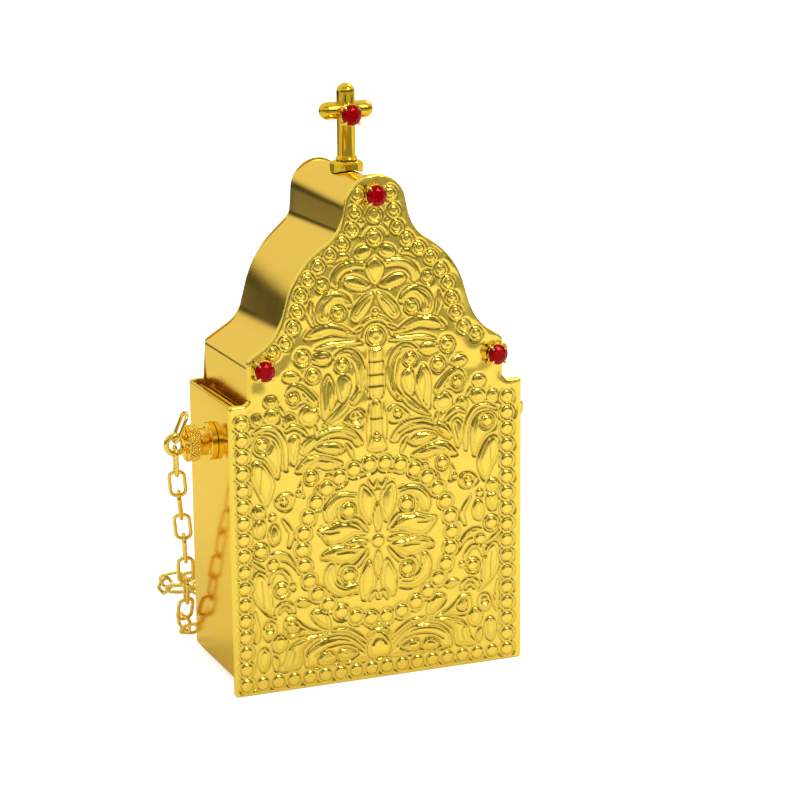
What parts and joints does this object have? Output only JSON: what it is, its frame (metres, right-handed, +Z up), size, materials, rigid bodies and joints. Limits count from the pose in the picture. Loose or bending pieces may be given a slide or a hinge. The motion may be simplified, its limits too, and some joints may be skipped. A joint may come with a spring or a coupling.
{
  "type": "communion pyx",
  "caption": "Gilt travelling pyx: an upright case with a chased dome-topped front, an inner box, a dome-shaped lid with a cross, red stones, thumb screws and a neck chain.",
  "frame": {"origin": "middle of the underside of the case", "axes": "+Z up, +X to the right as seen from the front, the chased front plate faces -Y"},
  "size_m": [0.0886, 0.0902, 0.1334],
  "materials": {
    "gilt_chased": "gilt, bright polished, stamped and chased",
    "gilt_case": "gilt, mirror polished",
    "gilt_inner": "gilt, polished",
    "gilt_lid": "gilt, mirror polished",
    "gilt_finial": "gilt, deep yellow, polished",
    "gilt_settings": "gilt, polished",
    "red_stone": "faceted, clear deep red",
    "gilt_screws": "gilt, polished, knobs diamond knurled",
    "gilt_chain": "gilt, polished wire links"
  },
  "bodies": {
    "root": {"front_plate": "gilt_chased", "case": "gilt_case", "inner_box": "gilt_inner", "lid": "gilt_lid", "finial_collar": "gilt_finial", "cross": "gilt_finial", "setting_top": "gilt_settings", "setting_left": "gilt_settings", "setting_right": "gilt_settings", "setting_cross": "gilt_settings", "stone_top": "red_stone", "stone_left": "red_stone", "stone_right": "red_stone", "stone_cross": "red_stone", "screw_flange_left": "gilt_screws", "screw_flange_right": "gilt_screws", "thumb_screw_left": "gilt_screws", "thumb_screw_right": "gilt_screws", "eye_link_left": "gilt_chain", "eye_link_right": "gilt_chain", "chain_left": "gilt_chain", "chain_lying": "gilt_chain", "chain_right": "gilt_chain"}
  },
  "joints": []
}
